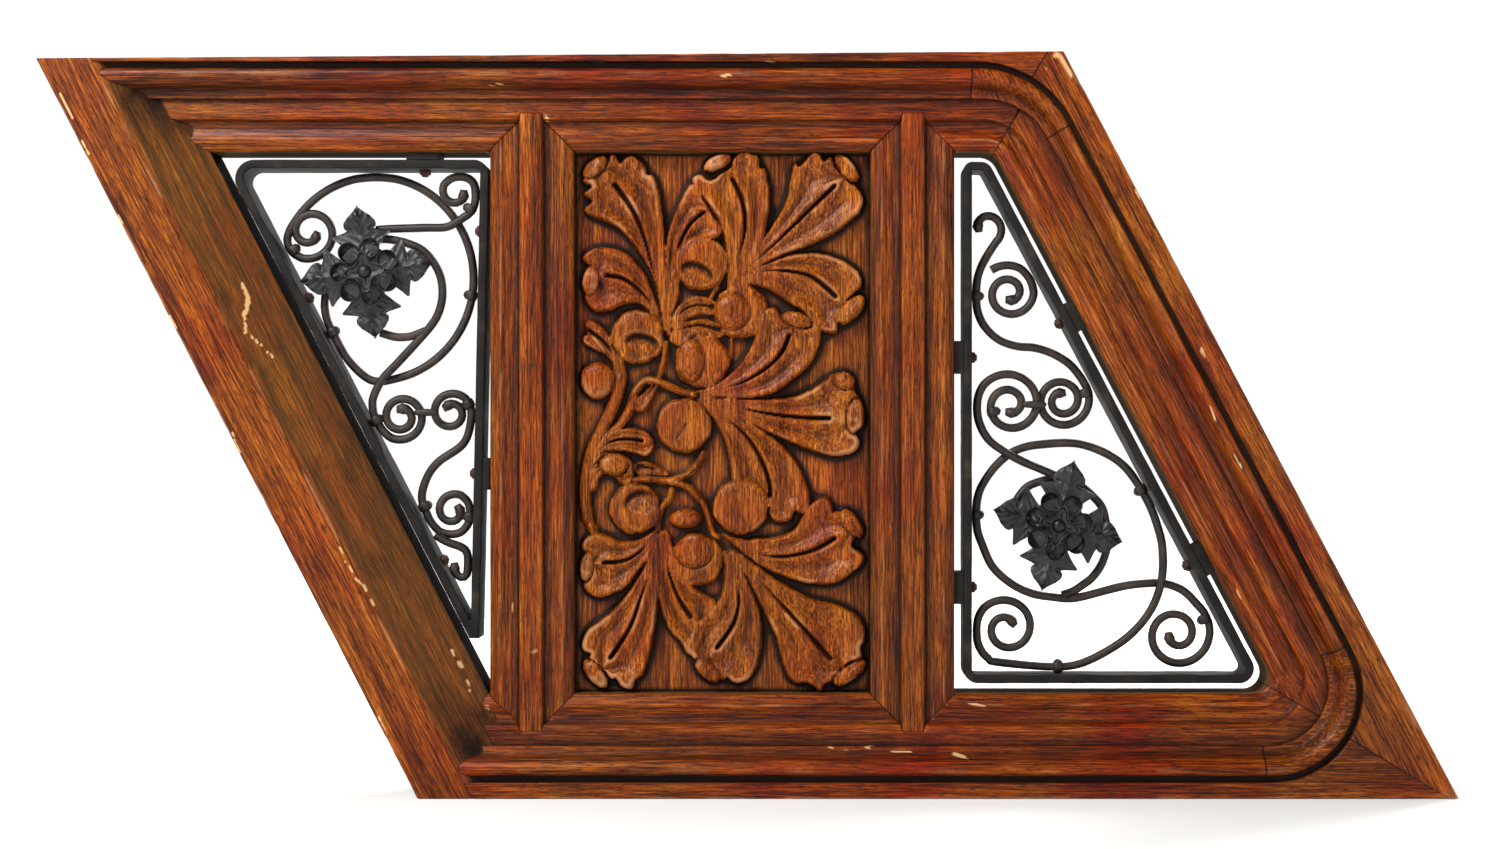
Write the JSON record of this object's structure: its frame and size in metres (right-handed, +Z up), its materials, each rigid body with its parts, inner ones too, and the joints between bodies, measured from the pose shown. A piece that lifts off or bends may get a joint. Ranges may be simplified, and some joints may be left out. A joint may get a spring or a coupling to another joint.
{
  "type": "staircase balustrade panel",
  "caption": "Raking moulded oak stair balustrade panel, its carved acanthus panel set between wrought iron scroll grilles.",
  "frame": {"origin": "middle of the footprint, on the underside", "axes": "+Z up, +X along the rails towards the foot of the right stile, -Y out of the carved front"},
  "size_m": [1.3232, 0.075, 0.695],
  "materials": {
    "oak": "old shellac polish, worn",
    "wrought_iron": "blackened, lightly rusted",
    "cast_iron": "graphite black with a slight sheen",
    "rusted_iron": "rusted"
  },
  "bodies": {
    "root": {"bottom_bead": "oak", "bottom_corner_bead": "oak", "bottom_rail": "oak", "carved_panel": "oak", "left_clip": "wrought_iron", "left_collar_1": "wrought_iron", "left_collar_2": "wrought_iron", "left_collar_3": "wrought_iron", "left_collar_4": "wrought_iron", "left_collar_5": "wrought_iron", "left_collar_6": "wrought_iron", "left_collar_7": "wrought_iron", "left_collar_8": "wrought_iron", "left_foot_scroll": "wrought_iron", "left_grille_frame": "wrought_iron", "left_muntin": "oak", "left_nut_1": "rusted_iron", "left_nut_2": "rusted_iron", "left_nut_3": "rusted_iron", "left_nut_4": "rusted_iron", "left_nut_5": "rusted_iron", "left_packing_1": "wrought_iron", "left_packing_3": "wrought_iron", "left_ring": "wrought_iron", "left_rosette": "cast_iron", "left_s_scroll": "wrought_iron", "left_side_branch": "wrought_iron", "left_side_scroll": "wrought_iron", "left_stile": "oak", "left_top_scroll": "wrought_iron", "right_bead": "oak", "right_clip": "wrought_iron", "right_collar_1": "wrought_iron", "right_collar_2": "wrought_iron", "right_collar_3": "wrought_iron", "right_collar_4": "wrought_iron", "right_collar_5": "wrought_iron", "right_collar_6": "wrought_iron", "right_collar_7": "wrought_iron", "right_grille_frame": "wrought_iron", "right_inner_scroll": "wrought_iron", "right_muntin": "oak", "right_nut_1": "rusted_iron", "right_nut_2": "rusted_iron", "right_nut_3": "rusted_iron", "right_nut_4": "rusted_iron", "right_packing_1": "wrought_iron", "right_packing_2": "wrought_iron", "right_packing_3": "wrought_iron", "right_packing_4": "wrought_iron", "right_ring_scroll": "wrought_iron", "right_rosette": "cast_iron", "right_side_scroll": "wrought_iron", "right_stile": "oak", "right_top_inner_scroll": "wrought_iron", "right_top_scroll": "wrought_iron", "top_bead": "oak", "top_corner_bead": "oak", "top_rail": "oak"}
  },
  "joints": []
}
